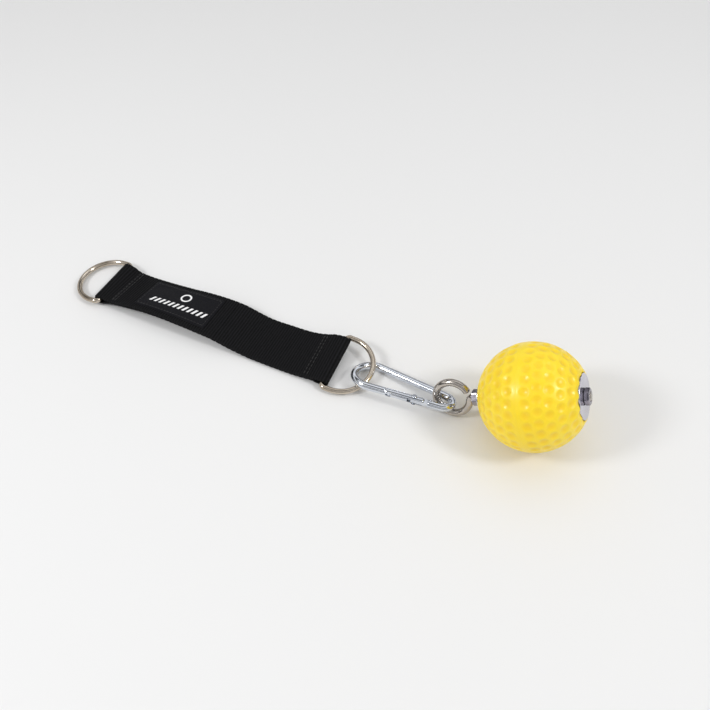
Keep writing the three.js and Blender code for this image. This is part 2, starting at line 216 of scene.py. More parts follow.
class Mat:
    def __init__(self, name):
        self.m = bpy.data.materials.new(name)
        self.m.use_nodes = True
        self.t = self.m.node_tree
        self.b = self.t.nodes["Principled BSDF"]

    def n(self, kind, **k):
        x = self.t.nodes.new(kind)
        for a, v in k.items():
            if a.startswith("_"):
                x.inputs[a[1:].replace("_", " ")].default_value = v
            else:
                setattr(x, a, v)
        return x

    def link(self, a, b):
        self.t.links.new(a, b)
        return self

    def noise(self, scale, detail=4, vec=None, rough=0.55):
        x = self.n("ShaderNodeTexNoise")
        x.inputs["Scale"].default_value = scale
        x.inputs["Detail"].default_value = detail
        x.inputs["Roughness"].default_value = rough
        if vec is not None:
            self.link(vec, x.inputs["Vector"])
        return x.outputs["Fac"]

    def ramp(self, fac, stops):
        x = self.n("ShaderNodeValToRGB")
        e = x.color_ramp.elements
        while len(e) < len(stops):
            e.new(0.5)
        for el, (p, c) in zip(e, stops):
            el.position = p
            el.color = c if len(c) == 4 else (*c, 1)
        self.link(fac, x.inputs["Fac"])
        return x.outputs["Color"]

    def rng(self, fac, a, b, lo, hi):
        x = self.n("ShaderNodeMapRange")
        for k, v in (("From Min", a), ("From Max", b), ("To Min", lo), ("To Max", hi)):
            x.inputs[k].default_value = v
        self.link(fac, x.inputs["Value"])
        return x.outputs["Result"]

    def math(self, op, a, b=None):
        x = self.n("ShaderNodeMath", operation=op)
        for i, v in enumerate((a, b)):
            if v is None:
                continue
            if isinstance(v, (int, float)):
                x.inputs[i].default_value = v
            else:
                self.link(v, x.inputs[i])
        return x.outputs[0]

    def bump(self, height, strength, dist, normal=None):
        x = self.n("ShaderNodeBump")
        x.inputs["Strength"].default_value = strength
        x.inputs["Distance"].default_value = dist
        self.link(height, x.inputs["Height"])
        if normal is not None:
            self.link(normal, x.inputs["Normal"])
        return x.outputs["Normal"]

    def obj(self):
        return self.n("ShaderNodeTexCoord").outputs["Object"]

    def painted_crevice_shade(self, color, dark, dist):
        """Painted shade: darkens a colour towards a dark tone where the surface is closely hemmed in."""
        ao = self.n("ShaderNodeAmbientOcclusion", samples=8)
        ao.inputs["Distance"].default_value = dist
        m = self.n("ShaderNodeMix", data_type="RGBA")
        self.link(self.rng(ao.outputs["AO"], 0.25, 0.85, 0, 1), m.inputs[0])
        m.inputs[6].default_value = dark
        self.link(color, m.inputs[7])
        return m.outputs[2]

    def attr(self, name, out="Vector"):
        return self.n("ShaderNodeAttribute", attribute_name=name).outputs[out]


def metal(name, light, dark, r0, r1, scratch=0.10, painted_crevice_shade=False):
    k = Mat(name)
    o = k.obj()
    k.b.inputs["Metallic"].default_value = 1
    big = k.noise(60, 5, o)
    tint = k.ramp(big, [(0.35, dark), (0.65, light)])
    # washer and nut: painted shade, srgb(30, 28, 26), in their crevices where the gaps lie in shade
    k.link(k.painted_crevice_shade(tint, srgb(30, 28, 26), 0.0012) if painted_crevice_shade else tint, k.b.inputs["Base Color"])
    fine = k.noise(900, 3, o)
    k.link(k.rng(fine, 0.3, 0.7, r0, r1), k.b.inputs["Roughness"])
    st = k.n("ShaderNodeMapping")
    st.inputs["Scale"].default_value = (300, 2600, 2600)
    k.link(o, st.inputs["Vector"])
    lines = k.noise(1, 2, st.outputs["Vector"])
    k.link(k.bump(lines, scratch, 0.00002, k.bump(k.noise(240, 3, o), 0.05, 0.0001)), k.b.inputs["Normal"])
    return k.m


M_NICKEL = metal("ring_nickel", srgb(214, 203, 188), srgb(184, 171, 154), 0.10, 0.20)
M_ZINC = metal("zinc_plate", srgb(226, 230, 236), srgb(204, 209, 218), 0.09, 0.19)
M_EYE = metal("bright_steel", srgb(205, 198, 190), srgb(176, 168, 160), 0.12, 0.24)
M_WASHER = metal("polished_washer", srgb(214, 213, 224), srgb(196, 195, 208), 0.12, 0.20, 0.05, True)
M_NUT = metal("nut_steel", srgb(176, 172, 182), srgb(140, 136, 146), 0.14, 0.26, 0.1, True)
M_SPRING = metal("spring_steel", srgb(170, 170, 172), srgb(140, 140, 145), 0.25, 0.4)


def ball_material():
    k = Mat("ball_resin")
    o = k.obj()
    # painted shade in the dimples: dimple depth mixes in a darker yellow, srgb(240, 186, 8), up to 0.35
    painted_dimple_shade = k.attr("dimple", "Fac")
    base = k.ramp(k.noise(45, 4, o), [(0.3, srgb(252, 216, 26)), (0.7, srgb(255, 225, 48))])
    mix = k.n("ShaderNodeMix", data_type="RGBA")
    k.link(k.rng(painted_dimple_shade, 0.0, 1.0, 0.0, 0.35), mix.inputs[0])
    k.link(base, mix.inputs[6])
    mix.inputs[7].default_value = srgb(240, 186, 8)
    k.link(mix.outputs[2], k.b.inputs["Base Color"])
    k.link(k.rng(k.noise(500, 3, o), 0.3, 0.7, 0.30, 0.40), k.b.inputs["Roughness"])
    k.b.inputs["Subsurface Weight"].default_value = 0.12
    k.b.inputs["Subsurface Radius"].default_value = (1.0, 0.7, 0.12)
    k.b.inputs["Subsurface Scale"].default_value = 0.003
    k.b.inputs["Coat Weight"].default_value = 0.12
    k.b.inputs["Coat Roughness"].default_value = 0.16
    k.link(k.bump(k.noise(170, 4, o), 0.12, 0.0004), k.b.inputs["Normal"])
    return k.m


def webbing_material():
    k = Mat("webbing")
    wv = k.attr("weave")
    sep = k.n("ShaderNodeSeparateXYZ")
    k.link(wv, sep.inputs[0])
    s, y = sep.outputs[0], sep.outputs[1]
    # yarn filaments run along the strap
    fil = k.math("SINE", k.math("MULTIPLY", y, 2 * pi / 0.28))
    n1 = k.noise(0.6, 5, wv)
    n2 = k.noise(5.5, 4, wv)
    rib = k.math("ABSOLUTE", k.math("SINE", k.math("MULTIPLY", s, pi / 2.0)))
    # colour: random tone from noise, plus painted shade in the rib valleys and painted highlight on the rib crests
    tone_and_rib_shade = k.math("ADD", k.math("MULTIPLY", n2, 0.4), k.math("MULTIPLY", rib, 0.6))
    k.link(k.ramp(tone_and_rib_shade, [(0.25, srgb(1, 1, 2)), (0.6, srgb(8, 8, 9)), (0.95, srgb(30, 30, 34))]), k.b.inputs["Base Color"])
    k.link(k.rng(n1, 0.3, 0.7, 0.55, 0.75), k.b.inputs["Roughness"])
    k.b.inputs["Specular IOR Level"].default_value = 0.14
    k.b.inputs["Sheen Weight"].default_value = 0.0
    k.b.inputs["Sheen Roughness"].default_value = 0.45
    h = k.math("ADD", k.math("MULTIPLY", fil, 0.35), k.math("MULTIPLY", n2, 0.9))
    k.link(k.bump(h, 0.5, 0.00012), k.b.inputs["Normal"])
    return k.m


def label_material():
    k = Mat("label")
    wv = k.attr("weave")
    sep = k.n("ShaderNodeSeparateXYZ")
    k.link(wv, sep.inputs[0])
    a = k.math("SINE", k.math("MULTIPLY", sep.outputs[0], 2 * pi / 0.42))
    b = k.math("SINE", k.math("MULTIPLY", sep.outputs[1], 2 * pi / 0.42))
    h = k.math("MULTIPLY", a, b)
    n = k.noise(0.9, 5, wv)
    k.link(k.ramp(n, [(0.3, srgb(7, 7, 12)), (0.7, srgb(13, 13, 20))]), k.b.inputs["Base Color"])
    k.link(k.rng(n, 0.3, 0.7, 0.5, 0.62), k.b.inputs["Roughness"])
    k.b.inputs["Specular IOR Level"].default_value = 0.2
    k.link(k.bump(h, 0.4, 0.00008), k.b.inputs["Normal"])
    return k.m


def thread_material(name, a, b, rough=0.55):
    k = Mat(name)
    o = k.obj()
    n = k.noise(1400, 3, o)
    k.link(k.ramp(n, [(0.3, a), (0.7, b)]), k.b.inputs["Base Color"])
    k.b.inputs["Roughness"].default_value = rough
    k.b.inputs["Sheen Weight"].default_value = 0.2
    w = k.n("ShaderNodeTexWave")
    w.inputs["Scale"].default_value = 900
    w.inputs["Distortion"].default_value = 1.5
    k.link(o, w.inputs["Vector"])
    k.link(k.bump(w.outputs["Fac"], 0.4, 0.0001), k.b.inputs["Normal"])
    return k.m


M_BALL = ball_material()
M_WEB = webbing_material()
M_LABEL = label_material()
M_THREAD = thread_material("thread", srgb(3, 3, 4), srgb(11, 11, 13))
M_MARK = thread_material("label_mark", srgb(232, 232, 234), srgb(252, 252, 252), 0.5)


def place_piece(o, mat, body, slot, *nodes):
    o.data.materials.clear()
    o.data.materials.append(mat)
    if body:
        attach(o, body)
    if nodes:
        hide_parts(*nodes)
    return o


# ------------------------------------------------------------------ dimensions shared with the CAD part
BALL_R, BALL_C = 36.0, np.array([338.8, 6.2, 36.0])
END_SEAT, END_RECESS_R, HOOK_SEAT, BORE = 31.2, 15.5, 34.4, 3.2
tilt, turn, roll = rad(23.231), rad(6.873), rad(71.476)
BZ = np.array([math.cos(tilt) * math.cos(turn), math.cos(tilt) * math.sin(turn), math.sin(tilt)])
SIDE = np.array([-math.sin(turn), math.cos(turn), 0])
LIFT = np.cross(BZ, SIDE)
BX = SIDE * math.cos(roll) + LIFT * math.sin(roll)
BY = np.cross(BZ, BX)
BOLT = (BALL_C, BX, BY, BZ)
CAM_R, CAM_U = np.array([0.9063, 0.4226, 0]), np.array([-0.3237, 0.6942, 0.6428])
CAM_F = np.array([-0.2716, 0.5826, -0.7660])

# ------------------------------------------------------------------ ball
E1 = unit(np.cross([0, 0, 1], BZ))
E2 = np.cross(BZ, E1)
left = -CAM_R
phi_left = math.degrees(math.atan2(left @ E2, left @ E1))
ROWS = [  # angle from the washer's pole, number of dimples, phase
    (24.6, 12, phi_left + 15), (35.9, 18, 3.0), (47.7, 22, 128.5), (59.8, 25, 108.4), (71.3, 28, 108.2), (83.1, 30, 113.9),
    (100.7, 30, 113.6), (112.1, 28, 103.7), (124.0, 25, 108.4), (136.0, 22, 128.5), (147.8, 17, 5.0), (159.2, 11, 9.0)]


def dimple(theta, phi):
    d = np.zeros(np.broadcast(theta, phi).shape)
    for t, n, p in ROWS:
        t = rad(t)
        step = 2 * pi / n
        dphi = (phi - rad(p) + step / 2) % step - step / 2
        c = np.cos(theta) * math.cos(t) + np.sin(theta) * math.sin(t) * np.cos(dphi)
        rho = BALL_R * np.arccos(np.clip(c, -1, 1)) / 3.3
        d = np.maximum(d, np.clip(1 - rho * rho, 0, 1) ** 1.15)
    return d


def make_ball():
    nphi = 540
    phi = 2 * pi * np.arange(nphi) / nphi
    t0, t1 = math.asin(END_RECESS_R / BALL_R), math.acos(-HOOK_SEAT / BALL_R)
    th = np.linspace(t0, t1, 216)[:, None]
    d = dimple(th, phi[None, :])
    r = BALL_R - 0.85 * d
    part = np.exp(-((np.degrees(th) - 91.9) / 0.42) ** 2)
    r = r + 0.10 * part
    r = np.minimum(r, HOOK_SEAT / np.maximum(-np.cos(th), 1e-3) * np.ones_like(r) + (np.cos(th) > -0.5) * 99)
    R, Z = r * np.sin(th), r * np.cos(th)
    rows = []
    for rr in np.linspace(BORE + 0.3, END_RECESS_R - 0.25, 10):
        rows.append((np.full(nphi, rr), np.full(nphi, END_SEAT)))
    rows.append((np.full(nphi, END_RECESS_R), np.full(nphi, END_SEAT + 0.12)))
    for k in (0.35, 0.8):
        rows.append((END_RECESS_R + (R[0] - END_RECESS_R) * k, END_SEAT + 0.12 + (Z[0] - END_SEAT - 0.12) * k))
    n_head = len(rows)
    for i in range(len(th)):
        rows.append((R[i], Z[i]))
    rim = R[-1].copy()
    for k in (0.25, 0.5, 0.75):
        rows.append((rim + (BORE + 0.3 - rim) * k, np.full(nphi, -HOOK_SEAT)))
    rows.append((np.full(nphi, BORE + 0.3), np.full(nphi, -HOOK_SEAT)))
    rows.append((np.full(nphi, BORE), np.full(nphi, -HOOK_SEAT + 0.3)))
    for zz in np.linspace(-30, 27, 12):
        rows.append((np.full(nphi, BORE), np.full(nphi, zz)))
    rows.append((np.full(nphi, BORE), np.full(nphi, END_SEAT - 0.3)))
    A = np.array([a for a, _ in rows])
    Zs = np.array([z for _, z in rows])
    v = BALL_C + (A * np.cos(phi))[..., None] * E1 + (A * np.sin(phi))[..., None] * E2 + Zs[..., None] * BZ
    dd = np.zeros(A.shape)
    dd[n_head:n_head + len(th)] = d
    o = build("ball_dimpled", v.reshape(-1, 3), grid(len(rows), nphi, True, True), 50, {"dimple": dd.ravel()})
    return place_piece(o, M_BALL, "grip", "ball_resin", "ball")


make_ball()

# ------------------------------------------------------------------ eye bolt, nuts and washers
EYE_R, WIRE, EYE_FROM, BEND, BOLT_END, SHANK = 11.9, 2.6, 55.6, 3.0, 36.6, 2.93


def make_eye_bolt():
    xf = math.sqrt((EYE_R + BEND) ** 2 - BEND ** 2)
    join = math.atan2(-BEND, xf)
    eye = join2(arc2((0, 0), EYE_R, rad(20), 2 * pi + join, 0.45), arc2((xf, -BEND), BEND, pi + join, pi / 2, 0.3))
    end = EYE_FROM + BOLT_END
    x0 = xf + 0.25
    shank = [np.array([x, 0.0]) for x in np.arange(x0, end - 0.6, 0.125)] + [np.array([end - 0.55, 0]), np.array([end - 0.3, 0]), np.array([end, 0])]
    path = join2(eye, shank)
    s_all = np.concatenate([[0], np.cumsum(np.linalg.norm(np.diff(path, axis=0), axis=1))])
    s_end = s_all[-1]
    s_thread = s_all[len(eye)]

    def radius(s, a):
        base = WIRE + (SHANK - WIRE) * smooth01((s - s_thread + 2.5) / 2.5)
        u = ((s - s_thread) / 1.0 - a / (2 * pi)) % 1.0
        tooth = np.clip(np.abs(u - 0.5) * 2 * 1.25 - 0.12, 0, 1)
        depth = 0.42 * smooth01((s - s_thread) / 1.0) * (s >= s_thread)
        r = base - depth * tooth
        r = np.minimum(r, SHANK - 0.62 + np.clip(s_end - s, 0, 9) * 0.9)  # chamfer at the end
        r = np.minimum(r, WIRE - 0.55 + np.clip(s, 0, 9) * 1.1)  # dressed edge of the open end
        return r

    o = tube("eye_bolt_threaded", path, (BALL_C - BZ * EYE_FROM, BZ, BX, BY), radius, 40, False, 55)
    return place_piece(o, M_EYE, "grip", "bright_steel", "eye_bolt")


make_eye_bolt()


def make_nut(name, node, z0, thick, mat):
    corner = 5 / math.cos(pi / 6)
    k, e = 0.55, 0.18
    prof = []
    hexp = []
    n = 96
    ang = 2 * pi * np.arange(n) / n
    flat = 5.0 / np.cos((ang + pi / 6) % (pi / 3) - pi / 6)  # hexagon outline
    flat = np.minimum(flat, corner - 0.10)
    rows = []

    def add(r, z):
        rows.append((np.broadcast_to(r, (n,)).astype(float), np.full(n, z)))

    add(3.06, z0 + 0.45)
    add(3.55, z0)
    add(4.2, z0)
    add(np.minimum(flat, 4.75), z0 + 0.02)
    for t in np.linspace(0, 1, 5):
        add(np.minimum(flat, 4.95 + t * 0.95), z0 + 0.04 + t * 0.50)
    for t in np.linspace(1, 0, 5):
        add(np.minimum(flat, 4.95 + t * 0.95), z0 + thick - 0.04 - t * 0.50)
    add(np.minimum(flat, 4.75), z0 + thick - 0.02)
    add(4.2, z0 + thick)
    add(3.55, z0 + thick)
    add(3.06, z0 + thick - 0.45)
    A = np.array([a for a, _ in rows])
    Z = np.array([z for _, z in rows])
    v = BALL_C + (A * np.cos(ang))[..., None] * BX + (A * np.sin(ang))[..., None] * BY + Z[..., None] * BZ
    o = build(name, v.reshape(-1, 3), grid(len(rows), n, True, True), 24)
    slot = "zinc_plate" if node == "inner_nut" else "bright_steel"
    return place_piece(o, mat, "grip", slot, node)


def make_washer(name, node, z0, outer, thick, mat):
    e = 0.28
    prof = [(3.2, z0 + e)]
    prof += [(3.2 + e * (1 - math.cos(t)), z0 + e * (1 - math.sin(t))) for t in np.linspace(0.3, pi / 2, 4)]
    prof += [(r, z0) for r in np.linspace(4.2, outer - 1.2, 6)]
    prof += [(outer - e * 1.6 * (1 - math.sin(t)), z0 + e * (1 - math.cos(t))) for t in np.linspace(0.0, pi / 2, 6)]
    prof += [(outer - e * 1.6 * (1 - math.cos(t)), z0 + thick - e * (1 - math.sin(t))) for t in np.linspace(0.0, pi / 2, 6)]
    prof += [(r, z0 + thick) for r in np.linspace(outer - 1.2, 4.2, 6)]
    prof += [(3.2 + e * (1 - math.sin(t)), z0 + thick - e * (1 - math.cos(t))) for t in np.linspace(0.0, pi / 2 - 0.3, 4)]
    prof += [(3.2, z0 + thick - e)]
    o = lathe(name, prof, BOLT, 120, True, 40)
    return place_piece(o, mat, "grip", "bright_steel", node)


make_washer("end_washer_disc", "end_washer", END_SEAT + 0.06, 15.0, 1.5, M_WASHER)
make_nut("end_hex_nut", "end_nut", END_SEAT + 0.12 + 1.5, 3.4, M_NUT)
make_washer("inner_washer_disc", "inner_washer", -HOOK_SEAT - 0.06 - 1.2, 9.0, 1.2, M_ZINC)
make_nut("inner_hex_nut", "inner_nut", -HOOK_SEAT - 0.12 - 1.2 - 5.0, 5.0, M_NUT)

# ------------------------------------------------------------------ D-rings
RING_R, RING_LEG, RING_C = 22.4, 6.3, 3.0


def make_ring(name, node, body, place):
    R, L, c = RING_R, RING_LEG, RING_C
    p = join2(line2((0, 0), (0, -(R - c)), 0.7), arc2((c, -(R - c)), c, pi, 1.5 * pi, 0.3), line2((c, -R), (L, -R), 0.5),
              arc2((L, 0), R, -pi / 2, pi / 2, 0.6), line2((L, R), (c, R), 0.5), arc2((c, R - c), c, pi / 2, pi, 0.3), line2((0, R - c), (0, 0), 0.7))
    q = p[:-1]
    d = np.hypot(q[:, 0], q[:, 1])
    r = 2.0 + 0.16 * np.exp(-(d / 0.8) ** 2)  # weld bead in the middle of the bar
    o = tube(name, q, place, r, 28, True)
    return place_piece(o, M_NICKEL, body, "ring_nickel", node)


t = rad(-4.2)
X = np.array([-math.cos(t), 0, math.sin(t)])
Y = np.array([0, -1.0, 0])
make_ring("anchor_ring_wire", "anchor_ring", "anchor_d_ring", (np.array([3.95, 0, 5.0]), X, Y, np.cross(X, Y)))
LINK_BAR, LINK_ROLL = np.array([198.0, 0, 7.331]), rad(9.424)
t = rad(-2.109)
X = np.array([math.cos(t), 0, math.sin(t)])
Z = unit(np.cross(X, [0, math.cos(LINK_ROLL), math.sin(LINK_ROLL)]))
make_ring("link_ring_wire", "link_ring", "link_d_ring", (LINK_BAR, X, np.cross(Z, X), Z))

# ------------------------------------------------------------------ snap hook
HC = np.array([228.556, -0.546, 6.52])
HX = unit([0.99848, -0.03222, 0.0447])
HZ = unit(np.cross(HX, [0.0434, 0.95968, -0.27772]))
HY = np.cross(HZ, HX)
ROD, HL, R1, R2, LATCH, RIVET, GATE_END, ROD_END = 2.8, 53.6, 12.9, 6.8, 13.9, 34.6, 41.8, 44.2
taper = math.asin((R1 - R2) / HL)
AS = np.array([R1 * math.sin(taper), -R1 * math.cos(taper)])
AD = np.array([math.cos(taper), math.sin(taper)])
on = lambda s, q=0.0: AS + AD * s + np.array([-AD[1], AD[0]]) * q
far = lambda s: on(s) * np.array([1, -1])
arm_len, a0 = HL * math.cos(taper), pi / 2 - taper
AO = HC + HX * AS[0] + HY * AS[1]
AX = HX * AD[0] + HY * AD[1]
AY = -HX * AD[1] + HY * AD[0]
ARM = (AO, AX, AY, HZ)
ARM_Z = (AO, AY, HZ, AX)  # for turned pieces along the arm


def make_hook():
    path = join2(line2(on(LATCH), on(0), 0.6), arc2((0, 0), R1, 2 * pi - a0, a0, 0.5), line2(far(0), far(arm_len), 0.9),
                 arc2((HL, 0), R2, a0, -a0, 0.4), line2(on(arm_len), on(ROD_END), 0.5))
    s = np.concatenate([[0], np.cumsum(np.linalg.norm(np.diff(path, axis=0), axis=1))])
    r = np.minimum(ROD, np.minimum(ROD - 0.35 + s * 0.9, ROD - 0.5 + (s[-1] - s) * 0.8))
    o = tube("hook_frame", path, (HC, HX, HY, HZ), r, 32, False, 40)
    bool_apply(o, boxmesh("n1", ARM, (LATCH - 1, 16.3), (-1.6, 1.6), (-0.85, 0.85)), "UNION")
    bool_apply(o, boxmesh("n2", ARM, (16.05, 17.35), (-1.6, 1.6), (-1.65, 1.65)), "UNION")
    tg = boxmesh("tg", ARM, (RIVET - 1.9, ROD_END + 1), (-2.2, 2.2), (-1.25, 1.25))
    bool_apply(o, tg, "UNION")
    bool_apply(o, lathe("h", [(0, -5), (1.3, -5), (1.3, 5), (0, 5)], (AO + AX * RIVET, AX, AY, HZ), 32, False), "DIFFERENCE")
    finish_shape(o, 35)
    return place_piece(o, M_ZINC, "hook", "zinc_plate", "hook_body")


def make_gate():
    e = 0.3
    z0, z1 = LATCH + 0.35, GATE_END
    prof = [(0, z0), (ROD - 1.2, z0), (ROD - e, z0), (ROD - 0.08, z0 + 0.12), (ROD, z0 + e)]
    prof += [(ROD, z) for z in np.linspace(z0 + 1.5, z1 - 2.5, 24)]
    prof += [(ROD, z1 - 1.6), (ROD - 0.12, z1 - 0.8), (ROD - 0.45, z1 - 0.3), (ROD - 1.0, z1), (0, z1)]
    o = lathe("gate_sleeve", prof, ARM_Z, 48, False)
    bool_apply(o, boxmesh("a", ARM, (LATCH - 1, 16.2), (-4, 4), (-1.2, 1.2)), "DIFFERENCE")
    bool_apply(o, boxmesh("b", ARM, (15.65, 18.6), (-4, 4), (-2.05, 2.05)), "DIFFERENCE")
    bool_apply(o, boxmesh("c", ARM, (30.2, GATE_END + 1), (-4, 4), (-1.55, 1.55)), "DIFFERENCE")
    bool_apply(o, lathe("d", [(0, 20.2), (1.45, 20.2), (1.45, 31), (0, 31)], ARM_Z, 28, False), "DIFFERENCE")
    bool_apply(o, lathe("f", [(0, -5), (1.3, -5), (1.3, 5), (0, 5)], (AO + AX * RIVET, AX, AY, HZ), 32, False), "DIFFERENCE")
    finish_shape(o, 35)
    return place_piece(o, M_ZINC, "gate", "zinc_plate", "hook_gate")


def make_rivet():
    # across the arm, in the plane of the slot
    hd = [(1.0, 3.58), (1.45, 3.42), (1.8, 3.15), (1.92, 2.9), (1.1, 2.9)]
    prof = [(0, -3.64)] + [(r, -z) for r, z in hd] + [(r, z) for r, z in hd[::-1]] + [(0, 3.64)]
    o = lathe("gate_rivet_pin", prof, (AO + AX * RIVET, AX, AY, HZ), 36, False, 40)
    return place_piece(o, M_ZINC, "hook", "zinc_plate", "gate_rivet")


make_hook()
make_gate()
make_rivet()
heel = RIVET - 1.9 - 0.08
o = lathe("gate_plunger_pin", [(0, heel - 6.5), (0.38, heel - 6.5), (0.5, heel - 6.35), (0.5, heel - 1.5), (1.15, heel - 1.5), (1.25, heel - 1.4), (1.25, heel - 0.1), (1.15, heel), (0, heel)], ARM_Z, 28, False, 35)
place_piece(o, M_ZINC, "plunger", "zinc_plate", "gate_plunger")


def make_spring():
    z0, z1, n, m = 20.55, heel - 1.85, 8 * 28, 10
    u = np.linspace(0, 1, n + 1)
    a = 2 * pi * 8 * u
    c = AO + (z0 + (z1 - z0) * u)[:, None] * AX + np.cos(a)[:, None] * AY + np.sin(a)[:, None] * HZ
    tan = np.gradient(c, axis=0)
    tan /= np.linalg.norm(tan, axis=1)[:, None]
    out = np.cos(a)[:, None] * AY + np.sin(a)[:, None] * HZ
    bi = np.cross(tan, out)
    g = 2 * pi * np.arange(m) / m
    v = c[:, None] + 0.2 * (np.cos(g)[None, :, None] * out[:, None] + np.sin(g)[None, :, None] * bi[:, None])
    o = build("gate_coil_spring", v.reshape(-1, 3), grid(n + 1, m) + [list(range(m)), [n * m + k for k in range(m)][::-1]])
    place_piece(o, M_SPRING, "gate", "spring_steel", "gate_spring")
    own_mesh(o)  # its own copy of the mesh data


make_spring()

# ------------------------------------------------------------------ webbing
FAR = [(-9, 5.0), (8, 4.9), (12, 3.6), (17, 2.2), (24, 1.9), (31, 2.0), (38, 2.6), (44, 3.0), (51, 3.6), (58, 4.3), (64, 4.9), (71, 5.8), (78, 6.8), (84, 7.4),
       (90, 7.9), (97, 8.3), (109, 8.2), (115, 7.5), (120, 6.1), (126, 4.5), (131, 3.2), (137, 2.4), (143, 2.4), (155, 3.0), (166, 3.4), (172, 4.2), (180, 6.3), (186, 9.0), (190, 10.606), (210, 10.606)]
NEAR = [(-9, 5.0), (8, 5.1), (16, 6.2), (23, 7.5), (30, 8.5), (37, 9.5), (44, 10.5), (57, 11.2), (70, 11.1), (82, 10.6), (94, 9.7), (105, 8.9), (111, 7.6), (116, 6.1), (122, 4.8),
        (127, 4.0), (133, 3.1), (139, 2.5), (150, 2.3), (162, 2.2), (172, 2.3), (180, 2.9), (186, 3.6), (190, 4.056), (210, 4.056)]
_x = np.arange(-9, 210.01, 0.25)


def _soft(tab):
    z = np.interp(_x, [p[0] for p in tab], [p[1] for p in tab])
    k = np.exp(-0.5 * (np.arange(-40, 41) * 0.25 / 2.6) ** 2)
    k /= k.sum()
    zs = np.convolve(np.pad(z, 40, "edge"), k, "valid")
    w = smooth01((np.minimum(_x - 6.5, 191.5 - _x)) / 6)
    ends = np.where(_x < 100, tab[0][1], tab[-1][1])
    return np.where(w < 1, ends * (1 - w) + zs * w, zs)


_far, _near = _soft(FAR), _soft(NEAR)


def mid(x, y):
    f = np.interp(x, _x, _far)
    n = np.interp(x, _x, _near)
    return n + (f - n) * (y + 20) / 40


def on_strap(x, y, n):
    """Point at x along the strap, y across it and n above its middle surface."""
    x, y, n = np.broadcast_arrays(np.asarray(x, float), np.asarray(y, float), np.asarray(n, float))
    e = 0.4
    gx = (mid(x + e, y) - mid(x - e, y)) / (2 * e)
    gy = (mid(x, y + e) - mid(x, y - e)) / (2 * e)
    q = 1 / np.sqrt(1 + gx * gx + gy * gy)
    yy = y / np.sqrt(1 + gy * gy)
    return np.stack([x - n * gx * q, yy - n * gy * q, mid(x, y) + n * q], -1)


PLY, HALF, LOOP, NECK = 0.82, 0.66, 3.12, 11.5
CUT = 108.0


def ply_offset(x):
    d = np.minimum(x - 3.95, 198.0 - x)
    return PLY + (LOOP - PLY) * smooth01(1 - d / NECK) - 0.05 * np.exp(-((d - 12.0) / 1.6) ** 2)


def weave(s, y):
    rib = np.abs(np.sin(pi * s / 2.0))
    i = np.floor(s / 2.0)
    b = 0.5 + 0.5 * np.cos(2 * pi * (y / 1.25 + 0.5 * (i % 2)))
    return 0.34 * rib ** 0.8 * (0.75 + 0.25 * b)


def make_band(name, bar, sign):
    ds = 0.34
    a = [(x, ply_offset(x)) for x in np.linspace(CUT, bar, int(abs(CUT - bar) / ds))]
    c = [(bar + sign * LOOP * math.sin(t), LOOP * math.cos(t)) for t in np.linspace(0, pi, 34)[1:-1]]
    b = [(x, -n) for x, n in a[::-1]]
    p = np.array(a + c + b)
    t = np.gradient(p, axis=0)
    t /= np.linalg.norm(t, axis=1)[:, None]
    out = np.stack([-t[:, 1], t[:, 0]], 1)
    if out[0, 1] < 0:
        out = -out
    s = np.concatenate([[0], np.cumsum(np.linalg.norm(np.diff(p, axis=0), axis=1))])
    top_y = np.linspace(-19.35, 19.35, 92)
    edge = np.linspace(-pi / 2, pi / 2, 9)[1:-1]
    yj = np.concatenate([top_y, 19.35 + 0.62 * np.cos(edge[::-1]), np.linspace(19.35, -19.35, 14), -19.35 - 0.62 * np.cos(edge)])
    hj = np.concatenate([np.full(92, HALF), HALF * np.sin(edge[::-1]), np.full(14, -HALF), HALF * np.sin(edge)])
    isout = np.concatenate([np.ones(92), 0.6 * np.ones(7), np.zeros(14), 0.6 * np.ones(7)])
    w = weave(s[:, None], yj[None, :])
    h = hj[None, :] + w * isout[None, :] * np.sign(hj + 1e-9)[None, :]
    pick = 0.38 * (np.abs(np.sin(pi * s / 4.0)) ** 0.7)[:, None] * np.clip((np.abs(yj) - 18.6) / 1.3, 0, 1)[None, :]
    y = yj[None, :] + np.sign(yj)[None, :] * (pick - 0.1)
    v = on_strap(p[:, 0:1] + out[:, 0:1] * h, y, p[:, 1:2] + out[:, 1:2] * h)
    n, m = len(p), len(yj)
    f = grid(n, m) + [list(range(m)), [(n - 1) * m + k for k in range(m)][::-1]]
    wv = np.stack([np.broadcast_to(s[:, None], (n, m)), np.broadcast_to(yj[None, :], (n, m)), np.zeros((n, m))], -1)
    return build(name, v.reshape(-1, 3), f, None, {"weave": wv.reshape(-1, 3)})


def bend_near(o, body_a, body_b, x0, x1):
    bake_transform(o)


Z1, Z2 = (94.5, 107.5), (108.5, 121.5)
o = make_band("webbing_label_side", 3.95, -1)
place_piece(o, M_WEB, None, "webbing", "webbing_anchor_run", "webbing_bend_section")
bend_near(o, "anchor_run", "bend_section", *Z1)
o = make_band("webbing_hook_side", 198.0, 1)
place_piece(o, M_WEB, None, "webbing", "webbing_grip_run")
bend_near(o, "bend_section", "grip_run", *Z2)

# ------------------------------------------------------------------ label, mark and stitches
LX0, LX1, LW = 35.0, 97.5, 15.8
TOP = PLY + HALF + 0.15


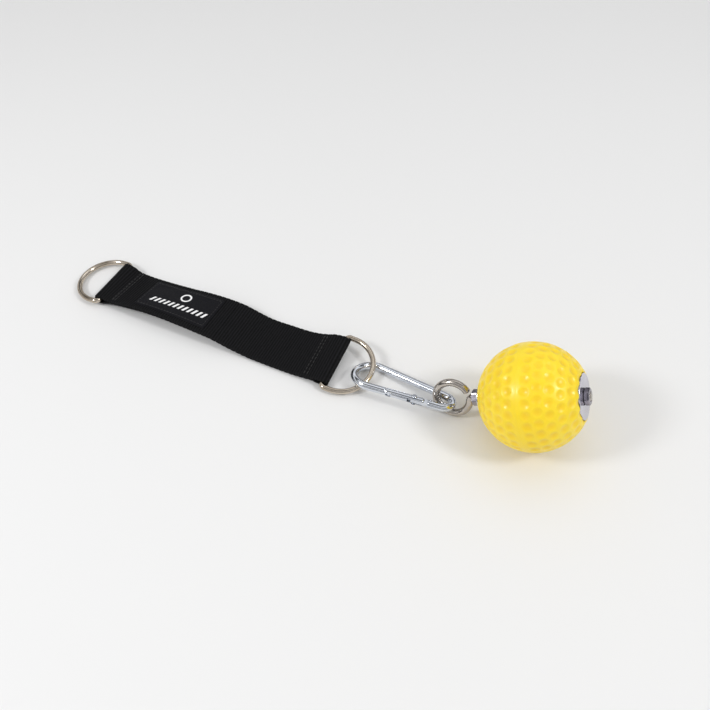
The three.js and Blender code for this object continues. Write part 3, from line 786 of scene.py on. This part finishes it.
def sheet(name, outline_fn, z0, thick, mat, slot, nodes=()):
    """A thin closed sheet over a grid of (x, y) points, crowned a little at its edges."""
    xs, ys = outline_fn
    gx, gy = np.meshgrid(xs, ys, indexing="ij")
    ex = np.minimum(gx - xs[0], xs[-1] - gx)
    ey = np.minimum(gy - ys[0], ys[-1] - gy)
    k = smooth01(np.minimum(ex, ey) / 0.7)
    sink = 0.10 * np.exp(-((np.minimum(ex, ey) - 1.9) / 0.45) ** 2)
    top = on_strap(gx, gy, z0 + thick * (0.55 + 0.45 * k) - sink)
    bot = on_strap(gx, gy, np.full(gx.shape, z0))
    n, m = gx.shape
    v = np.concatenate([top.reshape(-1, 3), bot.reshape(-1, 3)])
    b = n * m
    f = grid(n, m, False, False)
    f += [q[::-1] for q in grid(n, m, False, False, b)]
    loop = [i * m for i in range(n)] + [(n - 1) * m + j for j in range(1, m)] + [i * m + m - 1 for i in range(n - 2, -1, -1)] + [j for j in range(m - 2, 0, -1)]
    f += [[loop[i], loop[(i + 1) % len(loop)], b + loop[(i + 1) % len(loop)], b + loop[i]][::-1] for i in range(len(loop))]
    wv = np.stack([gx, gy, 0 * gx], -1).reshape(-1, 3)
    o = build(name, v, f, 40, {"weave": np.concatenate([wv, wv])})
    return o


lx = np.concatenate([LX0 + np.array([0, 0.12, 0.35, 0.7, 1.1, 1.5, 1.9, 2.3, 2.8]), np.arange(38.4, 94.3, 0.8), LX1 - np.array([2.8, 2.3, 1.9, 1.5, 1.1, 0.7, 0.35, 0.12, 0])])
ly = np.concatenate([-LW + np.array([0, 0.12, 0.35, 0.7, 1.1, 1.5, 1.9, 2.3, 2.8]), np.linspace(-12.4, 12.4, 32), LW - np.array([2.8, 2.3, 1.9, 1.5, 1.1, 0.7, 0.35, 0.12, 0])])
o = sheet("label_patch", (lx, ly), TOP, 0.62, M_LABEL, "label")
place_piece(o, M_LABEL, None, "label", "strap_label")
bend_near(o, "anchor_run", "bend_section", *Z1)


def stitches(name, runs, base, pitch, length, r, lift=0.22):
    """Short raised stitches along runs of (x, y) points."""
    V, F = [], []
    n, m = 9, 8
    for p, q in runs:
        p, q = np.array(p, float), np.array(q, float)
        L = np.linalg.norm(q - p)
        d = (q - p) / L
        side = np.array([-d[1], d[0]])
        k = max(1, int(L / pitch))
        for i in range(k):
            c = p + d * (L * (i + 0.5) / k)
            u = np.linspace(-1, 1, n)
            cx = c[None, :] + d[None, :] * (u * length / 2)[:, None]
            hgt = base - 0.12 + lift * np.sqrt(np.clip(1 - u ** 4, 0, 1))
            rr = r * np.clip(1 - np.abs(u) ** 5, 0.12, 1) ** 0.5
            g = 2 * pi * np.arange(m) / m
            xy = cx[:, None, :] + side[None, None, :] * (rr[:, None] * np.cos(g))[..., None]
            nn = hgt[:, None] + rr[:, None] * 0.8 * np.sin(g)
            b = sum(len(a) for a in V)
            V.append(on_strap(xy[..., 0], xy[..., 1], nn).reshape(-1, 3))
            F += grid(n, m, False, True, b) + [[b + j for j in range(m)], [b + (n - 1) * m + j for j in range(m)][::-1]]
    return build(name, np.concatenate(V), F)


i1 = 1.9
o = stitches("label_stitches", [((LX0 + i1, -LW + i1), (LX1 - i1, -LW + i1)), ((LX1 - i1, -LW + i1), (LX1 - i1, LW - i1)), ((LX1 - i1, LW - i1), (LX0 + i1, LW - i1)), ((LX0 + i1, LW - i1), (LX0 + i1, -LW + i1))],
             TOP + 0.56, 2.6, 2.0, 0.26)
place_piece(o, M_THREAD, None, "thread", "label_thread")
bend_near(o, "anchor_run", "bend_section", *Z1)
o = stitches("anchor_seam_stitches", [((16.1, -18.2), (16.1, 18.2)), ((18.6, -18.2), (18.6, 18.2))], TOP - 0.02, 3.3, 2.6, 0.36, 0.3)
place_piece(o, M_THREAD, "anchor_run", "thread", "anchor_seam_thread")
o = stitches("link_seam_stitches", [((185.2, -18.2), (185.2, 18.2)), ((182.7, -18.2), (182.7, 18.2))], TOP - 0.02, 3.3, 2.6, 0.36, 0.3)
place_piece(o, M_THREAD, "grip_run", "thread", "link_seam_thread")


def mark(name):
    """A plain generic motif: a ring and a row of equal slanted dashes."""
    V, F = [], []

    def slab(pts, closed_ring=None):
        b = sum(len(a) for a in V)
        z0, z1 = TOP + 0.55, TOP + 0.80
        if closed_ring is None:
            p = np.array(pts)
            n = len(p)
            V.append(np.concatenate([on_strap(p[:, 0], p[:, 1], np.full(n, z1)), on_strap(p[:, 0], p[:, 1], np.full(n, z0))]))
            F.append([b + i for i in range(n)])
            F.append([b + n + i for i in range(n)][::-1])
            F.extend([[b + i, b + n + i, b + n + (i + 1) % n, b + (i + 1) % n] for i in range(n)])
        else:
            c, r0, r1, n = closed_ring
            g = 2 * pi * np.arange(n) / n
            loops = []
            for r, z in ((r1, z1), (r0, z1), (r0, z0), (r1, z0)):
                loops.append(on_strap(c[0] + r * np.cos(g), c[1] + r * np.sin(g), np.full(n, z)))
            V.append(np.concatenate(loops))
            for k in range(4):
                for i in range(n):
                    a, e = b + k * n, b + ((k + 1) % 4) * n
                    F.append([a + i, a + (i + 1) % n, e + (i + 1) % n, e + i][::-1])

    slab(None, ((68.5, 6.0), 3.2, 4.5, 48))
    for k in range(12):
        x = 45.4 + k * 4.2
        slab([(x - 2.0, -7.6), (x - 0.1, -7.6), (x + 2.0, -2.6), (x + 0.1, -2.6)])
    return build(name, np.concatenate(V), F, 30)


o = mark("label_mark")
place_piece(o, M_MARK, None, "thread")
bend_near(o, "anchor_run", "bend_section", *Z1)

# ------------------------------------------------------------------ floor, light and camera
me = bpy.data.meshes.new("floor")
me.from_pydata([(-4, -4, 0), (4, -4, 0), (4, 6, 0), (-4, 6, 0)], [], [(0, 1, 2, 3)])
floor = bpy.data.objects.new("floor", me)
bpy.context.scene.collection.objects.link(floor)
k = Mat("floor")
k.link(k.ramp(k.noise(1.2, 3, k.obj()), [(0.2, (0.80, 0.80, 0.80)), (0.8, (0.82, 0.82, 0.82))]), k.b.inputs["Base Color"])
k.b.inputs["Roughness"].default_value = 0.55
k.b.inputs["Specular IOR Level"].default_value = 0.25
me.materials.append(k.m)

scene = bpy.context.scene
w = bpy.data.worlds.new("studio")
scene.world = w
w.use_nodes = True
nt = w.node_tree
nt.nodes.clear()
out = nt.nodes.new("ShaderNodeOutputWorld")
bgd, bgg, mixs = nt.nodes.new("ShaderNodeBackground"), nt.nodes.new("ShaderNodeBackground"), nt.nodes.new("ShaderNodeMixShader")
lp, tc, sp, rp = nt.nodes.new("ShaderNodeLightPath"), nt.nodes.new("ShaderNodeTexCoord"), nt.nodes.new("ShaderNodeSeparateXYZ"), nt.nodes.new("ShaderNodeValToRGB")
bgd.inputs["Color"].default_value = (1, 1, 1, 1)
bgd.inputs["Strength"].default_value = 0.64
nt.links.new(tc.outputs["Generated"], sp.inputs[0])
nt.links.new(sp.outputs["Z"], rp.inputs["Fac"])
e = rp.color_ramp.elements
stops = [(0.0, 0.35), (0.08, 0.04), (0.24, 0.05), (0.32, 0.85), (0.46, 1.0), (0.53, 0.10), (0.68, 0.06), (0.76, 0.90), (0.86, 1.0), (0.93, 0.12), (1.0, 0.10)]
while len(e) < len(stops):
    e.new(0.5)
for el, (p, c) in zip(e, stops):
    el.position, el.color = p, (c, c, c * 1.01, 1)
nt.links.new(rp.outputs["Color"], bgg.inputs["Color"])
bgg.inputs["Strength"].default_value = 1.0
nt.links.new(lp.outputs["Is Glossy Ray"], mixs.inputs[0])
nt.links.new(bgd.outputs[0], mixs.inputs[1])
nt.links.new(bgg.outputs[0], mixs.inputs[2])
nt.links.new(mixs.outputs[0], out.inputs["Surface"])


def area(name, direction, dist, size, power, target):
    l = bpy.data.lights.new(name, "AREA")
    l.shape, l.size, l.energy = "DISK", size, power
    ob = bpy.data.objects.new(name, l)
    scene.collection.objects.link(ob)
    tgt = Vector(target)
    ob.location = tgt + Vector(unit(direction)) * dist
    ob.rotation_euler = (tgt - ob.location).to_track_quat("-Z", "Y").to_euler()
    return ob


ball_row = row(BALL_C)
area("soft_right", (0.577, 0.023, 0.682), 1.4, 0.30, 5.6, ball_row)
area("soft_left", (-0.674, -0.561, 0.682), 1.4, 0.30, 5.6, ball_row)
area("top_fill", (0.0, 0.35, 1.0), 1.8, 1.6, 2.5, (0, 0, 0))

cam = bpy.data.cameras.new("camera")
cam.lens, cam.sensor_width, cam.clip_start = 38.27, 36.0, 0.01
co = bpy.data.objects.new("camera", cam)
scene.collection.objects.link(co)
r, u, f = unit(CAM_R), unit(CAM_U), unit(CAM_F)
loc = (np.array([183.14 + 174.957, -314.12 + 6.2, 427.1]) - O) * MM
co.matrix_world = Matrix(((r[0], u[0], -f[0], loc[0]), (r[1], u[1], -f[1], loc[1]), (r[2], u[2], -f[2], loc[2]), (0, 0, 0, 1)))
scene.camera = co
scene.view_settings.view_transform = "Standard"
scene.view_settings.look = "None"
scene.view_settings.exposure = 0.0
